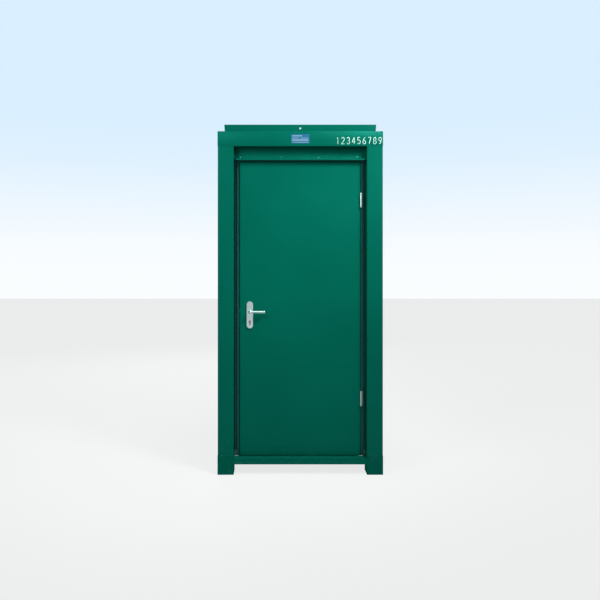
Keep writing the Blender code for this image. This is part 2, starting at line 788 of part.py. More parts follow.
def make_lock(door, hand, key):
    half_y = BOLT_HALF_Y + EASE
    y_low, y_high = LOCK_MID_Y - LOCK_HALF_Y, LOCK_MID_Y + LOCK_HALF_Y
    plate_low = (-LEAF_HALF_WIDTH, LOCK_MID_Y - FACEPLATE_HALF_Y, FACEPLATE_Z[0])
    plate_high = (FACEPLATE_BACK, LOCK_MID_Y + FACEPLATE_HALF_Y, FACEPLATE_Z[1])
    case = add("lock_case", box(plate_low, plate_high), "zinc_steel", door)
    shell = tray((CASE_FRONT, y_low, CASE_Z[0]), (CASE_END, y_high, CASE_Z[1]), CASE_SHEET, 0, 0)
    combine(case, tool("lock_shell", shell, door), "UNION")
    through = (y_low - OVERCUT, y_high + OVERCUT)
    hub_hole = prism(circle((LOCK_X, LEVER_Z), HUB_RADIUS + EASE), "Y", *through)
    cut(case, tool("hub_hole", hub_hole, door), bpy.data.objects["key_hole"])

    jamb = bpy.data.objects["lock_jamb"]
    strike_face = -FRAME_REBATE + GAP + STRIKE_SHEET
    strike_low = (-FRAME_REBATE + GAP, FRAME_FACE + STRIKE_INSET, STRIKE_Z[0])
    strike_high = (strike_face, FRAME_STOP_FACE - STRIKE_INSET, STRIKE_Z[1])
    strike = add("strike_plate", box(strike_low, strike_high), "zinc_steel")
    for name, (z_low, z_high) in (("latch", LATCH_Z), ("dead_bolt", DEAD_BOLT_Z)):
        mouth_low = (-LEAF_HALF_WIDTH - 2 * EASE, LOCK_MID_Y - half_y, z_low - EASE)
        mouth_high = (FACEPLATE_BACK + 2 * EASE, LOCK_MID_Y + half_y, z_high + EASE)
        cut(case, tool(f"{name}_mouth", box(mouth_low, mouth_high), door))
        pocket_low = (-FRAME_REBATE - POCKET_DEPTH, y_low, z_low - POCKET_MARGIN)
        pocket_high = (strike_face + 2 * EASE, y_high, z_high + POCKET_MARGIN)
        pocket = tool(f"{name}_pocket", box(pocket_low, pocket_high))
        cut(jamb, pocket)
        cut(strike, pocket)

    front, back = LOCK_MID_Y - BOLT_HALF_Y, LOCK_MID_Y + BOLT_HALF_Y
    latch_tip = -LEAF_HALF_WIDTH - LATCH_THROW
    latch = [
        (latch_tip, front),
        (latch_tip, front + LATCH_NOSE_FLAT),
        (latch_tip + LATCH_NOSE, back),
        (LATCH_TAIL, back),
        (LATCH_TAIL, front),
    ]
    slide = axis_empty("latch_slide", (latch_tip, LOCK_MID_Y, sum(LATCH_Z) / 2), door)
    add("latch_bolt", prism(latch, "Z", *LATCH_Z), "zinc_steel", slide)
    bolt_low = (-LEAF_HALF_WIDTH + EASE, front, DEAD_BOLT_Z[0])
    bolt_high = (DEAD_BOLT_TAIL, back, DEAD_BOLT_Z[1])
    slide = axis_empty("dead_bolt_slide", (bolt_low[0], LOCK_MID_Y, sum(DEAD_BOLT_Z) / 2), door)
    soften(add("dead_bolt", box(bolt_low, bolt_high), "zinc_steel", slide), DEAD_BOLT_EDGE)

    square = [(LOCK_X - SOCKET_HALF, LEVER_Z - SOCKET_HALF), (LOCK_X + SOCKET_HALF, LEVER_Z + SOCKET_HALF)]
    hub = prism(circle((LOCK_X, LEVER_Z), HUB_RADIUS), "Y", y_low + EASE, y_high - EASE)
    hub = add("lock_hub", hub, "zinc_steel", hand)
    socket = prism(rectangle(*square), "Y", *through)
    cut(hub, tool("hub_socket", socket, hand))

    make_cylinder(door, key)


def make_cylinder(door, key):
    outer_end = LEAF_FRONT - PLATE_THICKNESS - GAP - CYLINDER_PROUD
    inner_end = LEAF_BACK + PLATE_THICKNESS + GAP + CYLINDER_PROUD
    body = add("cylinder_body", prism(cylinder_profile(), "Y", outer_end, inner_end), "brass", door)
    bore = prism(circle((LOCK_X, KEY_Z), PLUG_BORE), "Y", outer_end - OVERCUT, inner_end + OVERCUT)
    cam_low = (LOCK_X - CAM_ROOM, LOCK_MID_Y - CAM_ROOM_Y, KEY_Z - CAM_ROOM_FOOT)
    cam_high = (LOCK_X + CAM_ROOM, LOCK_MID_Y + CAM_ROOM_Y, KEY_Z + CAM_ROOM)
    cut(body, tool("plug_bore", bore, door), tool("cam_slot", box(cam_low, cam_high), door))

    ends = (outer_end - EASE, inner_end + EASE)
    plug = add("cylinder_plug", prism(circle((LOCK_X, KEY_Z), PLUG_RADIUS), "Y", *ends), "brass", key)
    cam_y = (LOCK_MID_Y - CAM_HALF_Y, LOCK_MID_Y + CAM_HALF_Y)
    collar = prism(circle((LOCK_X, KEY_Z), CYLINDER_RADIUS - GAP), "Y", *cam_y)
    finger_low = (LOCK_X - CAM_HALF_WIDTH, cam_y[0], KEY_Z - CAM_RADIUS)
    finger = box(finger_low, (LOCK_X + CAM_HALF_WIDTH, cam_y[1], KEY_Z))
    combine(plug, tool("cam_collar", collar, key), "UNION")
    combine(plug, tool("cam_finger", finger, key), "UNION")
    for name, end, inward in (("outer", ends[0], 1), ("inner", ends[1], -1)):
        y_low, y_high = sorted((end - inward * 2 * EASE, end + inward * KEYWAY_DEPTH))
        keyway_low = (LOCK_X - KEYWAY_HALF_WIDTH, y_low, KEY_Z - KEYWAY_HALF_HEIGHT)
        keyway_high = (LOCK_X + KEYWAY_HALF_WIDTH, y_high, KEY_Z + KEYWAY_HALF_HEIGHT)
        cut(plug, tool(f"{name}_keyway", box(keyway_low, keyway_high), key))


def make_furniture(door, hand):
    """Backplates and levers on both faces of the leaf, joined by a square spindle."""
    sides = (("outer", -1, LEAF_FRONT), ("inner", 1, LEAF_BACK))
    for name, ys, face in sides:
        y_low, y_high = sorted((face + ys * GAP, face + ys * (GAP + PLATE_THICKNESS)))
        outline = stadium((LOCK_X, PLATE_MIDDLE_Z), PLATE_HALF_WIDTH, PLATE_HALF_LENGTH)
        plate = add(f"{name}_backplate", prism(outline, "Y", y_low, y_high), "stainless_steel", door)
        through = (y_low - OVERCUT, y_high + OVERCUT)
        neck_hole = prism(circle((LOCK_X, LEVER_Z), LEVER_RADIUS + NECK_PLAY), "Y", *through)
        cut(plate, tool(f"{name}_neck_hole", neck_hole, door), bpy.data.objects["key_hole"])

    for name, ys, face in sides:
        grip_y = face + ys * LEVER_STAND_OFF
        bend = arc((LOCK_X + LEVER_BEND, grip_y - ys * LEVER_BEND), LEVER_BEND, 180, 180 - ys * 90, 6)
        tip = LOCK_X + LEVER_REACH
        path = [(LOCK_X, face + ys * LEVER_FOOT), (LOCK_X, face + ys * LEVER_DOME)]
        path += bend
        path += [(tip - LEVER_DOME, grip_y), (tip, grip_y)]
        lever = add(f"{name}_lever", bent_rod(path, LEVER_RADIUS, LEVER_Z), "stainless_steel", hand)
        y_low, y_high = sorted((face - ys * OVERCUT, face + ys * SOCKET_REACH))
        socket_low = (LOCK_X - SOCKET_HALF, y_low, LEVER_Z - SOCKET_HALF)
        socket = box(socket_low, (LOCK_X + SOCKET_HALF, y_high, LEVER_Z + SOCKET_HALF))
        cut(lever, tool(f"{name}_socket", socket, hand))

    low = (LOCK_X - SPINDLE_HALF, LEAF_FRONT - SPINDLE_REACH, LEVER_Z - SPINDLE_HALF)
    high = (LOCK_X + SPINDLE_HALF, LEAF_BACK + SPINDLE_REACH, LEVER_Z + SPINDLE_HALF)
    add("spindle", box(low, high), "zinc_steel", hand)


def make_door():
    door = axis_empty("door_axis", (PIN_X, PIN_Y, 0))
    hand = axis_empty("handle_axis", (LOCK_X, LOCK_MID_Y, LEVER_Z), door)
    key = axis_empty("key_axis", (LOCK_X, LOCK_MID_Y, KEY_Z), door)
    make_leaf(door)
    for name, middle in HINGE_HEIGHTS.items():
        hinge_pieces(door, name, middle)
    make_lock(door, hand, key)
    make_furniture(door, hand)


def main():
    clear_scene()
    make_corners()
    make_base()
    make_top_rails()
    make_roof()
    make_walls()
    make_lining()
    make_door_frame()
    make_head()
    make_seals()
    make_door()


main()
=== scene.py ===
"""Looks of the walk-in parcel locker: finishes, fine edges and small fittings round its frame."""

import json
import math

import bmesh
import bpy
from mathutils import Matrix, Vector

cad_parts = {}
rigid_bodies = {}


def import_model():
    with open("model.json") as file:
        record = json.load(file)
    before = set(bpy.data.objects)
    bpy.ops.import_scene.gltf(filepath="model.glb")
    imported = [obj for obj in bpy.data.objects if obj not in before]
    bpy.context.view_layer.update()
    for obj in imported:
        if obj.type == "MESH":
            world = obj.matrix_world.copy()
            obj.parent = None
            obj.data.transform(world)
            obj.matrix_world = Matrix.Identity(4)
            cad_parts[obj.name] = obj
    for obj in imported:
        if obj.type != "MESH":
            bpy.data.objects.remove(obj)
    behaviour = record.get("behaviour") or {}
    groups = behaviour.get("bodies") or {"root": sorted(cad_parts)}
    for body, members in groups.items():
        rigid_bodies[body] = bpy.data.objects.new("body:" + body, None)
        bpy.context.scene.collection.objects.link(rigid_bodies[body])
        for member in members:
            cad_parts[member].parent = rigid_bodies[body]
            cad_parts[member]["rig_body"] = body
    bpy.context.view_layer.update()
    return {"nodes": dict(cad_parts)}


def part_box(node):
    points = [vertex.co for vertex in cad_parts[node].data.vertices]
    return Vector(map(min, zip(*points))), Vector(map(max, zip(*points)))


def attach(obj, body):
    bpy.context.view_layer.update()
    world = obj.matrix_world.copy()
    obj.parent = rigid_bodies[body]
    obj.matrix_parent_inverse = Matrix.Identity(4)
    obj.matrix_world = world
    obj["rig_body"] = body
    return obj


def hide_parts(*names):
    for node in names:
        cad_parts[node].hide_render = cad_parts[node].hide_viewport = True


# Camera, stage and lights
CAMERA_PLACE = (-0.2, -5.2, 1.5)
CAMERA_LENS = 37.28
CAMERA_SHIFT = (0.0455, -0.05364)
FLOOR_HALF = 25.0
FLOOR_TONE = (0.99, 0.995, 1.0)
FLOOR_MATT = 0.09
FLOOR_GLOW = 0.78
SKY_RADIUS = 60.0
SKY_RISE = 0.28
SKY_LOW = (0.96, 0.985, 1.0)
SKY_HIGH = (0.70, 0.86, 1.0)
STUDIO_TONE = (0.85, 0.96, 1.0)
STUDIO_STRENGTH = 0.10
SUN_STRENGTH = 1.8
SUN_ANGLE = 35
SUN_DIRECTION = (-0.08, 0.15, -1.0)
# name: place, target, size, power in watts, spread in degrees
AREA_LIGHTS = {
    "key": ((1.9, -2.6, 4.2), (0.34, -0.7, 1.98), (1.1, 1.1), 36, 60),
    "fill": ((-2.35, -3.2, 3.45), (-0.2, -0.7, 2.05), (1.5, 1.5), 44, 100),
    "back": ((-1.5, 5.0, 3.8), (0.0, 0.6, 1.2), (2.5, 2.0), 160, 180),
}

# Linear colours of the finishes
GREEN = (0.0003, 0.063, 0.042)
GREEN_GLOSS = (0.02, 1.0, 0.78)
# lighter chipped spots for rounded edges: real wear, and also a painted edge highlight
GREEN_CHIPS_AND_EDGE_HIGHLIGHT = (0.010, 0.095, 0.070)
DUST = (0.030, 0.095, 0.075)
STEEL = (0.70, 0.84, 0.86)
LEVER_TONE = (0.40, 0.58, 0.54)
HINGE_TONE = (0.37, 0.55, 0.51)
RIVET_TONE = (0.12, 0.46, 0.38)
FRAME_GREEN = (0.008, 0.076, 0.060)
ZINC = (0.60, 0.62, 0.63)
# painted shade: zinc darkened far below its own tone, so the parts seen in the door gap read as its
# shade
ZINC_DARKENED_AS_GAP_SHADE = (0.055, 0.070, 0.068)
NICKEL = (0.30, 0.31, 0.34)
ALUMINIUM = (0.70, 0.71, 0.72)
RUBBER = (0.012, 0.012, 0.013)
SEALANT = (0.014, 0.140, 0.136)
PALE_SEALANT = (0.42, 0.66, 0.60)
STOPPER = (0.018, 0.075, 0.070)
BLUE = (0.006, 0.075, 0.150)
WHITE_PAINT = (0.30, 0.46, 0.40)
PLATE_PRINT = (0.12, 0.20, 0.25)
LINING = (0.74, 0.75, 0.73)
GRIME = (0.240, 0.260, 0.220)
FLOOR_FILM = (0.085, 0.048, 0.028)
PAPER = (0.46, 0.33, 0.19)

# Softening of folded and cut edges
FOLD = 0.0015
SOFT = 0.0008
FINE = 0.0003
PLATE_EDGE = 0.0022
STOPPER_EDGE = 0.002
FOOT_BEAD_EDGE = 0.0015

# Small fittings
RIVET_RADIUS = 0.0040
RIVET_HEIGHT = 0.0020
RIVET_PLACES = (-0.435, -0.137, 0.137, 0.420)
RIVET_DROP = 0.010
# the broken stem in its middle, as shares of the head's radius and height
RIVET_STEM = ((0.42, 1.0), (0.36, 0.7))
DRIP_SHEET = 0.0015
SCREW_RADIUS = 0.0045
SCREW_HEIGHT = 0.0016
SCREW_SINK = {"plate": 0.0002, "strike": 0.0004}
SCREW_INSET = {"plate": 0.020, "strike": 0.012}
# the cross recess, as shares of the head's radius and height
RECESS_REACH = 0.55
RECESS_HALF_WIDTH = 0.13
RECESS_FLOOR = 0.35
WELD_RADIUS = 0.0014
WELD_RIPPLE = 0.005
WELD_NARROW = 0.78
POST_FOLD = 0.005
POST_WALL = 0.004
LEVER_BEND = 0.012
LEVER_RADIUS = 0.0095
LEVER_NECK = 0.004
LEVER_TIP_ROUNDING = 0.005
# (beyond the lever's radius, above the plate)
NECK_RING = ((0.0003, -0.0005), (0.0042, -0.0005), (0.0042, 0.0012), (0.0032, 0.0022), (0.0003, 0.0026))

# Markings
DIGIT_HALF_WIDTH = 0.0105
DIGIT_HALF_HEIGHT = 0.0235
DIGIT_STROKE = 0.0040
STROKE_MITRE = 1.6
DIGIT_FILM = 0.0003
DIGIT_PITCH = 0.0385
DIGIT_FIRST = 0.2705
DIGIT_MIDDLE = 2.4215
PLATE_PRINT_HEIGHT = 0.0005
PLATE_CORNER = 0.003
# bottom, top, left and right of each bar, as shares of the plate
PLATE_BARS = (
    (0.76, 0.87, 0.06, 0.60),
    (0.54, 0.61, 0.06, 0.42),
    (0.54, 0.61, 0.52, 0.94),
    (0.29, 0.43, 0.06, 0.94),
    (0.08, 0.14, 0.06, 0.94),
)

# Doorway: the frame's outer ridge, its front and the groove between it and the posts
RIDGE_X = 0.461
FRAME_FACE = -0.635
GROOVE_BACK = -0.600
GROOVE_CLEARANCE = 0.0005
GROOVE_SEAL_DEPTH = 0.018
STOPPER_DEPTH = 0.030
STOPPER_HEIGHT = 0.038
FOOT_BEAD_SPAN = {"left": (0.452, 0.4825), "right": (0.428, 0.458)}
FOOT_BEAD_HEIGHT = 0.004
FOOT_BEAD_PROUD = (0.006, 0.001)
STRIP_INSET = 0.002
STRIP_THICKNESS = 0.003
STRIP_CLEARANCE = 0.0015

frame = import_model()
nodes = frame["nodes"]


# ---- finishes -------------------------------------------------------------------------------


class Finish:
    """A node material being put together in metres, in the frame of the object."""

    def __init__(self, name, roughness, metallic=0.0, specular=0.5):
        self.material = bpy.data.materials.new(name)
        self.material.use_nodes = True
        self.tree = self.material.node_tree
        self.shader = self.tree.nodes["Principled BSDF"]
        self.shader.inputs["Roughness"].default_value = roughness
        self.shader.inputs["Metallic"].default_value = metallic
        self.shader.inputs["Specular IOR Level"].default_value = specular
        self.place = self.node("ShaderNodeTexCoord").outputs["Object"]
        self.heights = None

    def node(self, kind, **settings):
        made = self.tree.nodes.new(kind)
        for name, value in settings.items():
            setattr(made, name, value)
        return made

    def join(self, source, socket):
        self.tree.links.new(source, socket)

    def stretched(self, stretch):
        """The place with each axis scaled, for grain that runs along one of them."""
        mapping = self.node("ShaderNodeMapping")
        mapping.inputs["Scale"].default_value = stretch
        self.join(self.place, mapping.inputs["Vector"])
        return mapping.outputs["Vector"]

    def noise(self, scale, detail=2.0, stretch=None):
        texture = self.node("ShaderNodeTexNoise")
        texture.inputs["Scale"].default_value = scale
        texture.inputs["Detail"].default_value = detail
        place = self.stretched(stretch) if stretch else self.place
        self.join(place, texture.inputs["Vector"])
        return texture.outputs["Fac"]

    def cells(self, scale, feature="F1", output="Distance"):
        texture = self.node("ShaderNodeTexVoronoi", feature=feature)
        texture.inputs["Scale"].default_value = scale
        self.join(self.place, texture.inputs["Vector"])
        return texture.outputs[output]

    def along(self, axis):
        split = self.node("ShaderNodeSeparateXYZ")
        self.join(self.place, split.inputs["Vector"])
        return split.outputs[axis]

    def ranged(self, value, low, high, start=0.0, end=1.0):
        """value between low and high, taken to start and end and held there outside them."""
        ranged = self.node("ShaderNodeMapRange", interpolation_type="SMOOTHSTEP")
        for name, number in (("From Min", low), ("From Max", high), ("To Min", start), ("To Max", end)):
            ranged.inputs[name].default_value = number
        self.join(value, ranged.inputs["Value"])
        return ranged.outputs["Result"]

    def calculate(self, operation, a, b):
        made = self.node("ShaderNodeMath", operation=operation)
        for socket, value in zip(made.inputs, (a, b)):
            if isinstance(value, (int, float)):
                socket.default_value = value
            else:
                self.join(value, socket)
        return made.outputs["Value"]

    def mixed(self, share, first, second):
        """A colour between two, which are colours or sockets."""
        mix = self.node("ShaderNodeMix", data_type="RGBA")
        self.join(share, mix.inputs["Factor"])
        for name, value in (("A", first), ("B", second)):
            socket = next(s for s in mix.inputs if s.name == name and s.type == "RGBA")
            if isinstance(value, tuple):
                socket.default_value = (*value, 1)
            else:
                self.join(value, socket)
        return next(s for s in mix.outputs if s.type == "RGBA")

    def colour(self, value):
        self.join(value, self.shader.inputs["Base Color"])

    def roughness(self, value):
        self.join(value, self.shader.inputs["Roughness"])

    def bump(self, height, depth, strength=1.0):
        """Relief of this depth in metres; a second call adds to the first."""
        bump = self.node("ShaderNodeBump")
        bump.inputs["Distance"].default_value = depth
        bump.inputs["Strength"].default_value = strength
        self.join(height, bump.inputs["Height"])
        if self.heights:
            self.join(self.heights, bump.inputs["Normal"])
        self.heights = bump.outputs["Normal"]
        self.join(self.heights, self.shader.inputs["Normal"])


def shade(colour, factor):
    return tuple(value * factor for value in colour)


def green_paint(name="green_enamel", edge_wear_and_highlight=False, tone=GREEN, specular=0.12):
    """Sprayed enamel on steel: orange peel, faint cloudiness and dust low down; with wear on, it adds
    lighter chipped spots, which are real wear and also a painted highlight along the edges.
    """
    paint = Finish(name, 0.42, specular=specular)
    paint.shader.inputs["Specular Tint"].default_value = (*GREEN_GLOSS, 1)
    cloud = paint.noise(1.6, 3.0)
    base = paint.mixed(paint.ranged(cloud, 0.3, 0.7), shade(tone, 0.95), shade(tone, 1.05))
    speck = paint.ranged(paint.noise(38.0, 6.0), 0.56, 0.72)
    low_down = paint.ranged(paint.along("Z"), 0.02, 0.42, 1.0, 0.0)
    dust = paint.calculate("MULTIPLY", speck, low_down)
    base = paint.mixed(paint.calculate("MULTIPLY", dust, 0.30), base, DUST)
    if edge_wear_and_highlight:
        # lighter chipped spots: real wear that also paints a highlight along the edges
        chip_and_highlight_mask = paint.ranged(paint.noise(55.0, 5.0), 0.50, 0.66)
        base = paint.mixed(paint.calculate("MULTIPLY", chip_and_highlight_mask, 0.75), base, GREEN_CHIPS_AND_EDGE_HIGHLIGHT)
    paint.colour(base)
    smudge = paint.ranged(paint.noise(5.0, 5.0), 0.35, 0.70, 0.36, 0.48)
    paint.roughness(paint.calculate("ADD", smudge, paint.calculate("MULTIPLY", dust, 0.2)))
    paint.bump(paint.noise(210.0, 1.0), 0.00022, 0.55)
    paint.bump(paint.noise(3.2, 2.0), 0.0016, 0.30)
    return paint.material


def brushed(name, colour, stretch, roughness=(0.26, 0.40), depth=0.00004):
    """Metal with fine brush lines; stretch makes the lines run along its smallest axis."""
    metal = Finish(name, roughness[0], metallic=1.0)
    lines = metal.noise(1.0, 3.0, stretch)
    stain = metal.ranged(metal.noise(14.0, 4.0), 0.35, 0.75)
    base = metal.mixed(lines, shade(colour, 0.88), shade(colour, 1.06))
    metal.colour(metal.mixed(metal.calculate("MULTIPLY", stain, 0.25), base, shade(colour, 0.72)))
    metal.roughness(metal.ranged(lines, 0.25, 0.75, *roughness))
    metal.bump(lines, depth)
    return metal.material


def zinc_coat(name, tone_of_zinc):
    """Galvanised sheet: crystal spangle, dull grey patches and a slightly uneven coat."""
    metal = Finish(name, 0.42, metallic=1.0)
    spangle = metal.cells(75.0, output="Color")
    grey = metal.node("ShaderNodeRGBToBW")
    metal.join(spangle, grey.inputs["Color"])
    tone = grey.outputs["Val"]
    base = metal.mixed(tone, shade(tone_of_zinc, 0.86), shade(tone_of_zinc, 1.08))
    patch = metal.ranged(metal.noise(9.0, 5.0), 0.45, 0.70)
    dull = shade(tone_of_zinc, 0.70)
    metal.colour(metal.mixed(metal.calculate("MULTIPLY", patch, 0.4), base, dull))
    metal.roughness(metal.ranged(tone, 0.0, 1.0, 0.34, 0.50))
    metal.bump(metal.noise(260.0, 2.0), 0.00006)
    return metal.material


def rubber():
    """Extruded rubber with a grey bloom."""
    seal = Finish("seal_rubber", 0.75, specular=0.3)
    bloom = seal.ranged(seal.noise(60.0, 5.0), 0.45, 0.75)
    seal.colour(seal.mixed(bloom, RUBBER, shade(RUBBER, 2.2)))
    seal.roughness(seal.ranged(bloom, 0.0, 1.0, 0.66, 0.86))
    seal.bump(seal.noise(900.0, 2.0), 0.00008)
    return seal.material


def moulded(name, colour, roughness=0.45, grain=650.0):
    """Moulded plastic with a fine pebbled skin."""
    plastic = Finish(name, roughness, specular=0.4)
    cloud = plastic.noise(25.0, 3.0)
    plastic.colour(plastic.mixed(cloud, shade(colour, 0.85), shade(colour, 1.12)))
    plastic.roughness(plastic.ranged(cloud, 0.3, 0.7, roughness - 0.06, roughness + 0.08))
    plastic.bump(plastic.cells(grain), 0.00008, 0.6)
    return plastic.material


def plate_enamel(name, colour):
    """Printed or painted marks and plates: even colour, slight scuffs, a glossier skin."""
    enamel = Finish(name, 0.32, specular=0.35)
    scuff = enamel.ranged(enamel.noise(90.0, 6.0), 0.58, 0.74)
    enamel.colour(enamel.mixed(enamel.calculate("MULTIPLY", scuff, 0.35), colour, shade(colour, 0.62)))
    enamel.roughness(enamel.ranged(scuff, 0.0, 1.0, 0.30, 0.50))
    enamel.bump(enamel.noise(420.0, 1.0), 0.00006, 0.5)
    return enamel.material


def lining_board():
    """White melamine board: faint pearl pattern, patchy sheen all over, grime by the floor."""
    board = Finish("white_board", 0.45, specular=0.4)
    cloud = board.noise(2.5, 4.0)
    base = board.mixed(cloud, shade(LINING, 0.93), LINING)
    grime = board.ranged(board.along("Z"), 0.15, 0.60, 0.55, 0.0)
    grime = board.calculate("MULTIPLY", grime, board.noise(8.0, 6.0))
    board.colour(board.mixed(grime, base, GRIME))
    board.roughness(board.ranged(board.noise(6.0, 4.0), 0.3, 0.7, 0.38, 0.55))
    board.bump(board.noise(320.0, 2.0), 0.00010, 0.6)
    return board.material


def floor_film():
    """Brown phenolic film on plywood, pressed with a wire-mesh grip pattern and scuffed."""
    film = Finish("grip_film", 0.55, specular=0.35)
    walk = film.ranged(film.noise(4.0, 6.0), 0.40, 0.72)
    film.colour(film.mixed(walk, FLOOR_FILM, shade(FLOOR_FILM, 2.1)))
    film.roughness(film.ranged(walk, 0.0, 1.0, 0.42, 0.68))
    ridges = []
    for axis in ("X", "Y"):
        wave = film.calculate("MULTIPLY", film.along(axis), 2 * math.pi / 0.006)
        wave = film.calculate("SINE", wave, 0.0)
        ridges.append(film.ranged(wave, 0.4, 1.0))
    film.bump(film.calculate("MAXIMUM", *ridges), 0.00035, 0.8)
    return film.material


def paper_core():
    """Paper honeycomb, with the shade in its hollow cells painted on as darker colour."""
    core = Finish("paper_core", 0.9, specular=0.1)
    cell_relief_and_shade = core.ranged(core.cells(70.0, feature="DISTANCE_TO_EDGE"), 0.02, 0.08)
    # painted shade: each cell's hollow is coloured darker; the same mask gives the cell relief
    core.colour(core.mixed(cell_relief_and_shade, PAPER, shade(PAPER, 0.30)))
    core.roughness(core.ranged(core.noise(200.0), 0.3, 0.7, 0.8, 0.98))
    core.bump(cell_relief_and_shade, 0.002)
    return core.material


PAINT = green_paint()
# finish of the rounded edge strips: chipped wear that is also a painted edge highlight
PAINT_EDGE_WEAR_AND_HIGHLIGHT = green_paint("green_enamel_edge", edge_wear_and_highlight=True)
FRAME_PAINT = green_paint("frame_enamel", tone=FRAME_GREEN)
FOOT_PAINT = green_paint("foot_enamel", specular=0.0)
STAINLESS = brushed("brushed_stainless", STEEL, (900, 900, 25))
LEVER_STEEL = brushed("lever_stainless", LEVER_TONE, (25, 900, 900), (0.28, 0.38))
HINGE_ZINC = brushed("hinge_zinc", HINGE_TONE, (500, 500, 60), (0.34, 0.48))
NICKEL_PLATE = brushed("cylinder_nickel", NICKEL, (700, 40, 700), (0.30, 0.44))
RIVET_METAL = brushed("rivet_metal", RIVET_TONE, (300, 300, 300), (0.40, 0.55))
ALU_METAL = brushed("mill_aluminium", ALUMINIUM, (12, 700, 700), (0.34, 0.48))
ZINC_METAL = zinc_coat("zinc_coat", ZINC)
# painted shade: a darkened zinc coat for the parts seen through the door gap
GAP_SHADE_ZINC = zinc_coat("gap_shade_zinc_coat", ZINC_DARKENED_AS_GAP_SHADE)
BLACK_SEAL = rubber()
WHITE_BOARD = lining_board()
GRIP_FILM = floor_film()
PAPER_CORE = paper_core()
BLUE_ENAMEL = plate_enamel("blue_enamel", BLUE)
PALE_PRINT = plate_enamel("pale_print", PLATE_PRINT)
WHITE_ENAMEL = plate_enamel("white_marking", WHITE_PAINT)
STOPPER_PLASTIC = moulded("stopper_plastic", STOPPER)
JOINT_SEALANT = moulded("joint_sealant", SEALANT, 0.60, 240.0)
FOOT_SEALANT = moulded("foot_sealant", PALE_SEALANT, 0.60, 240.0)

SLOT_FINISHES = {
    "green_paint": PAINT,
    "lining_board": WHITE_BOARD,
    "floor_board": GRIP_FILM,
    "honeycomb_board": PAPER_CORE,
    "black_rubber": BLACK_SEAL,
    "stainless_steel": STAINLESS,
    "zinc_steel": ZINC_METAL,
    "brass": NICKEL_PLATE,
    "aluminium": ALU_METAL,
    "blue_plate": BLUE_ENAMEL,
}


# ---- shapes ---------------------------------------------------------------------------------


UP = Vector((0, 0, 1))
TOWARDS_FRONT = Matrix.Rotation(math.radians(90), 3, "X")
TOWARDS_REAR = Matrix.Rotation(math.radians(-90), 3, "X")
TOWARDS_RIGHT = Matrix.Rotation(math.radians(90), 3, "Y")


def slot_of(node):
    """The record's slot of a CAD node, read from its own material."""
    return nodes[node].data.materials[0].name.split(".")[0]


def piece(name, shape, body, slot, *finishes, sharp=30):
    """A finished mesh piece that rides on a body; edges over sharp degrees stay crisp."""
    bmesh.ops.recalc_face_normals(shape, faces=shape.faces)
    mesh = bpy.data.meshes.new(name)
    shape.to_mesh(mesh)
    shape.free()
    for finish in finishes:
        mesh.materials.append(finish)
    mesh.shade_smooth()
    mesh.set_sharp_from_angle(angle=math.radians(sharp))
    obj = bpy.data.objects.new(name, mesh)
    bpy.context.collection.objects.link(obj)
    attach(obj, body)
    return obj


def soften(obj, width, segments=2, edge_slot=None):
    """Rounds the hard edges; edge_slot is the finish that the rounded strips take."""
    bevel = obj.modifiers.new("soft_edges", "BEVEL")
    bevel.width = width
    bevel.segments = segments
    bevel.limit_method = "ANGLE"
    bevel.angle_limit = math.radians(28)
    bevel.harden_normals = True
    if edge_slot is not None:
        bevel.material = edge_slot
    return obj


def own_shape(node):
    """A CAD node's shape with its doubled corners joined and its flat faces whole."""
    shape = bmesh.new()
    shape.from_mesh(nodes[node].data)
    bmesh.ops.remove_doubles(shape, verts=shape.verts, dist=1e-6)
    bmesh.ops.dissolve_limit(
        shape, angle_limit=math.radians(1), verts=shape.verts, edges=shape.edges
    )
    return shape


def refined(node, width, segments=2, finish=None):
    """The CAD node's own shape, shown in its place with rounded edges; where it is painted, those edges
    take lighter chipped spots, real wear that also paints a highlight on them.
    """
    slot = slot_of(node)
    painted = slot == "green_paint"
    main = finish or SLOT_FINISHES[slot]
    finishes = (main, PAINT_EDGE_WEAR_AND_HIGHLIGHT) if painted else (main,)
    obj = piece(f"{node}_shell", own_shape(node), nodes[node]["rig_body"], slot, *finishes)
    soften(obj, width, segments, 1 if painted else None)
    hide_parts(node)


def ring(shape, points):
    """Corners of one loop, new in a shape."""
    return [shape.verts.new(point) for point in points]


def bridge(shape, first, second):
    """Faces between two loops with the same number of corners."""
    count = len(first)
    for i in range(count):
        j = (i + 1) % count
        shape.faces.new((first[i], first[j], second[j], second[i]))


def arc(centre, radius, start, end, steps):
    """Points of an arc in a plane, angles in degrees."""
    points = []
    for i in range(steps + 1):
        angle = math.radians(start + (end - start) * i / steps)
        points.append((centre[0] + radius * math.cos(angle), centre[1] + radius * math.sin(angle)))
    return points


def rounded_rectangle(low, high, radius, steps=8):
    """An outline with four round corners, from the top right one on."""
    left, bottom = low[0] + radius, low[1] + radius
    right, top = high[0] - radius, high[1] - radius
    points = []
    for i, centre in enumerate(((right, top), (left, top), (left, bottom), (right, bottom))):
        points += arc(centre, radius, 90 * i, 90 * i + 90, steps)
    return points


def swept(shape, path, radii, sides):
    """A tube of changing radius along a level path, closed at both ends."""
    loops = []
    last = len(path) - 1
    for i, (point, radius) in enumerate(zip(path, radii)):
        along = (path[min(i + 1, last)] - path[max(i - 1, 0)]).normalized()
        across = UP.cross(along).normalized()
        up = along.cross(across)
        points = []
        for a, b in arc((0, 0), radius, 0, 360, sides)[:-1]:
            points.append(point + across * a + up * b)
        loops.append(ring(shape, points))
    for first, second in zip(loops, loops[1:]):
        bridge(shape, first, second)
    shape.faces.new(loops[0])
    shape.faces.new(loops[-1][::-1])


